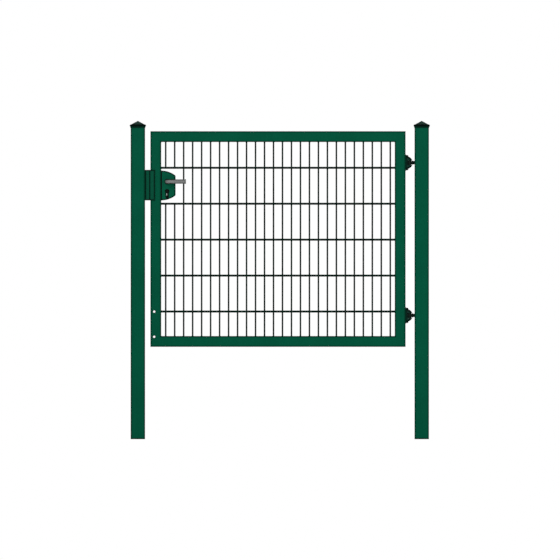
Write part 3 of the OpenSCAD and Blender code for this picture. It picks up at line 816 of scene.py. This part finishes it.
# Painted shade along the keep's edges and in a band over and beside its groove
keep_coat = powder_coat("keep_coat", KEEP_GREEN, (keep_low, keep_high), 0.97, 9 * MM, 4 * MM,
                        shade_band=(groove_x - 4.5 * MM, groove_x + 0.5 * MM))
soften("keep_body", 0.6 * MM, keep_coat)
soften("keep_buffer", 0.6 * MM, rubber)


def socket_screw(shape, origin, axis, radius):
    """A low head with a six-sided socket."""
    shape.turn([(radius, 0), (radius * 0.98, 0.3 * MM), (radius * 0.85, 0.8 * MM),
                (radius * 0.62, 0.9 * MM), (hexagon(radius * 0.42, SIXTH / 2), 0.9 * MM),
                (hexagon(radius * 0.40, SIXTH / 2), -0.6 * MM)], origin, axis)


forend_low, forend_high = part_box("lock_body")
screws = Shape()
for z in (forend_low.z + 7 * MM, forend_high.z - 7 * MM):
    socket_screw(screws, (forend_low.x, 0, z), (-1, 0, 0), 4.2 * MM)
screws.make("forend_screws", "leaf", lock_steel, "lock_steel")
screws = Shape()
for z in (keep_low.z + 10 * MM, keep_high.z - 10 * MM):
    socket_screw(screws, (forend_low.x - KEEP_GAP, 0, z), (1, 0, 0), 4.6 * MM)
screws.make("keep_screws", "posts", lock_steel, "lock_steel")


# ---------- hinges ----------

PLATE_THICK = 8 * MM
HINGE_BODY_IN = 4 * MM  # from the leaf's edge to the centre of the half-round body
HINGE_BODY_R = 36 * MM
NUT_HEIGHT = 8 * MM
NUT_TIP_R = 9 * MM
NUT_BORE = 8.1 * MM
WASHER_BORE = 5.3 * MM
WASHER_THICK = 0.4 * MM
BEAD_R = 2.6 * MM
DOME_STEPS = 7


def dome(shape, origin, axis, radius, height):
    """A domed screw head."""
    profile = [(radius, -0.5 * MM), (radius, height * 0.25)]
    for k in range(1, DOME_STEPS):
        a = QUARTER * k / DOME_STEPS
        profile.append((radius * math.cos(a), height * (0.25 + 0.75 * math.sin(a))))
    shape.turn(profile, origin, axis)


def lock_nut(which, z):
    """A hexagon nut with rounded corners and a collar that tapers towards the eye."""
    low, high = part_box(which + "_lock_nut")
    flat_r = (high.z - low.z) / 2
    round_r = flat_r * 0.97
    reach = high.x - low.x
    six_sided = hexagon(flat_r, 0)

    def corner_drop(angle):
        return (six_sided(angle) - round_r) * 0.55

    def corner_top(angle):
        return NUT_HEIGHT - corner_drop(angle)

    nut = Shape()
    nut.turn([(NUT_BORE, 0.8 * MM), (NUT_BORE + 0.8 * MM, 0), (round_r, 0),
              (six_sided, corner_drop), (six_sided, corner_top), (round_r, NUT_HEIGHT),
              (NUT_TIP_R + 0.9 * MM, NUT_HEIGHT), (NUT_TIP_R + 0.2 * MM, reach - 1.0 * MM),
              (NUT_TIP_R, reach - 0.4 * MM), (NUT_TIP_R - 0.4 * MM, reach)],
             (low.x, 0, z), (1, 0, 0), steps=48, caps=False)
    made = nut.make(which + "_nut", "posts", hinge_steel, "hinge_steel", sharp=30)
    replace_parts(made, which + "_lock_nut")


def hinge_washers(which, z):
    """Thin washers between the eye and the two ears of the fork."""
    eye_low, eye_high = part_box(which + "_eye_bolt")
    pin_low, pin_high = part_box(which + "_hinge_pin")
    rim = eye_high.y - 0.4 * MM
    seat = (eye_high.z - eye_low.z) / 2 + 0.05 * MM
    washers = Shape()
    for side in (-1, 1):
        washers.turn([(WASHER_BORE, 0), (rim, 0), (rim, WASHER_THICK),
                      (WASHER_BORE, WASHER_THICK), (WASHER_BORE, 0)],
                     ((pin_low.x + pin_high.x) / 2, 0, z + side * seat), (0, 0, side),
                     steps=36, caps=False)
    washers.make(which + "_hinge_washers", "leaf", black_plastic, "guard_plastic")


def hinge(which):
    """The looks of one hinge: eased solids, nut, washers, domed screws and weld beads."""
    low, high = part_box(which + "_hinge_yoke")
    z = (low.z + high.z) / 2
    body = Vector((low.x + HINGE_BODY_IN, 0, z))
    soften(which + "_hinge_yoke", 0.7 * MM, hinge_coat(which + "_yoke_coat", body, HINGE_BODY_R))
    wear(which + "_hinge_pin", hinge_steel)
    soften(which + "_eye_bolt", 0.8 * MM, hinge_steel)
    lock_nut(which, z)
    hinge_washers(which, z)

    knobs = Shape()
    for side in (-1, 1):
        place = (low.x + PLATE_THICK, 0, z + side * (high.z - z - 6.5 * MM))
        dome(knobs, place, (1, 0, 0), 6 * MM, 8 * MM)
    knobs.make(which + "_hinge_screws", "leaf", black_plastic, "hinge_paint")

    beads = Shape()
    x = low.x + 0.2 * MM
    for side, end_z in ((-1, low.z), (1, high.z)):
        y = side * high.y
        weld_run(beads, (x, y, low.z + 3 * MM), (x, y, high.z - 3 * MM), BEAD_R, side)
        y = high.y - 2 * MM
        weld_run(beads, (x, -y, end_z), (x, y, end_z), BEAD_R, 2 + side)
    beads.make(which + "_hinge_welds", "leaf", weld_coat, "hinge_paint", sharp=70)


hinge("upper")
hinge("lower")


# ---------- rims of the drilled holes, welds in the frame's corners ----------

hole = next(m for m in frame["record"]["mounts"] if m["name"] == "floor_bolt_holes")
hole_r = hole["dims"]["hole_r_mm"] * MM
hole_x, _, holes_z = hole["pos_m"]
rims = Shape()
for step in (-0.5, 0.5):
    z = holes_z + step * hole["dims"]["spacing_y_mm"] * MM
    for side in (-1, 1):
        profile = [(hole_r + wider * MM, along * MM) for wider, along in
                   ((-0.1, -1.8), (-0.1, 0.5), (0.5, 0.9), (1.8, 0.8), (2.4, 0))]
        rims.turn(profile, (hole_x, side * leaf_high.y, z), (0, side, 0), steps=32, caps=False)
rims.make("hole_rims", "leaf", black_plastic, "guard_plastic")

inner_x = (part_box("latch_stile")[1].x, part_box("hinge_stile")[0].x)
inner_z = (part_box("bottom_rail")[1].z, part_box("top_rail")[0].z)
corner_welds = Shape()
for i, x in enumerate(inner_x):
    for j, z in enumerate(inner_z):
        weld_run(corner_welds, (x, leaf_low.y + 4 * MM, z), (x, leaf_high.y - 4 * MM, z),
                 2.2 * MM, i + 2 * j)
corner_welds.make("corner_welds", "leaf", weld_coat, "frame_paint", sharp=70)


# ---------- camera ----------

VIEW_WIDTH = 3.117  # metres across the square picture
VIEW_SHIFT = 1.2 * MM  # how far the picture's middle is from the object's
CAMERA_BACK = 9

box_low, box_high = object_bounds()
middle = (box_low + box_high) / 2
camera_data = bpy.data.cameras.new("camera")
camera_data.type = "ORTHO"
camera_data.ortho_scale = VIEW_WIDTH
camera_data.clip_end = 60
camera = bpy.data.objects.new("camera", camera_data)
bpy.context.scene.collection.objects.link(camera)
camera.location = (middle.x + VIEW_SHIFT, -CAMERA_BACK, middle.z)
camera.rotation_euler = (QUARTER, 0, 0)
bpy.context.scene.camera = camera


# ---------- floor: pale, with the object's shadow, and pure white further out ----------

FLOOR_HALF = 14
FADE = (1.3, 3.1)  # metres from the object's middle
GLOW = (0.55, 1.0)  # emission that the camera sees, near and far

floor_corners = [(-FLOOR_HALF, -FLOOR_HALF, 0), (FLOOR_HALF, -FLOOR_HALF, 0),
                 (FLOOR_HALF, FLOOR_HALF, 0), (-FLOOR_HALF, FLOOR_HALF, 0)]
floor_mesh = bpy.data.meshes.new("floor")
floor_mesh.from_pydata(floor_corners, [], [(0, 1, 2, 3)])
floor_object = bpy.data.objects.new("floor", floor_mesh)
bpy.context.scene.collection.objects.link(floor_object)
ground = Surface("floor_plain", 0.0)
to_camera = ground.node("ShaderNodeLightPath").outputs["Is Camera Ray"]
ground_x, ground_y, _ = ground.axes(ground.place)
away = ground.length(ground.math("SUBTRACT", ground_x, middle.x), ground_y)
far = ground.spread(away, *FADE)
glow = ground.spread(far, 0, 1, *GLOW, smooth=False)
ground.shader.inputs["Emission Color"].default_value = (1, 1, 1, 1)
ground.feed(ground.shader.inputs["Emission Strength"], ground.math("MULTIPLY", to_camera, glow))
lit = ground.mix(ground.noise(0.8, 3), (0.80, 0.80, 0.80, 1), (0.84, 0.84, 0.84, 1))
viewed = ground.mix(far, (0.4, 0.4, 0.4, 1), (0, 0, 0, 1))
floor_colour = ground.mix(to_camera, lit, viewed)
floor_mesh.materials.append(ground.finish(floor_colour, 0.8, ground.noise(60, 3), 0.2, 0.3))


# ---------- world: white where it is seen or mirrored, dimmer where it lights ----------

WORLD_LIGHT = 0.48

world = bpy.data.worlds.new("studio")
bpy.context.scene.world = world
world.use_nodes = True
tree = world.node_tree
tree.nodes.clear()


def either(a, b):
    """The larger of two sockets."""
    made = tree.nodes.new("ShaderNodeMath")
    made.operation = "MAXIMUM"
    tree.links.new(a, made.inputs[0])
    tree.links.new(b, made.inputs[1])
    return made.outputs[0]


def plain_white(strength):
    made = tree.nodes.new("ShaderNodeBackground")
    made.inputs["Color"].default_value = (1, 1, 1, 1)
    made.inputs["Strength"].default_value = strength
    return made.outputs[0]


rays = tree.nodes.new("ShaderNodeLightPath").outputs
shown = either(either(rays["Is Camera Ray"], rays["Is Glossy Ray"]), rays["Is Transmission Ray"])
choose = tree.nodes.new("ShaderNodeMixShader")
result = tree.nodes.new("ShaderNodeOutputWorld")
tree.links.new(shown, choose.inputs[0])
tree.links.new(plain_white(WORLD_LIGHT), choose.inputs[1])
tree.links.new(plain_white(1.0), choose.inputs[2])
tree.links.new(choose.outputs[0], result.inputs[0])


# ---------- lamps ----------

def lamp(name, offset, watts):
    """A large soft lamp that faces the object's middle and isn't seen itself."""
    data = bpy.data.lights.new(name, "AREA")
    data.shape = "DISK"
    data.size = 3.0
    data.energy = watts
    made = bpy.data.objects.new(name, data)
    made.visible_camera = False
    bpy.context.scene.collection.objects.link(made)
    made.location = middle + Vector(offset)
    made.rotation_euler = (-Vector(offset)).to_track_quat("-Z", "Y").to_euler()


lamp("key", (-1.6, -4.2, 2.2), 82)
lamp("fill", (2.4, -3.8, 0.6), 48)
lamp("back", (0.8, 4.4, 2.0), 110)

bpy.context.scene.view_settings.view_transform = "Standard"
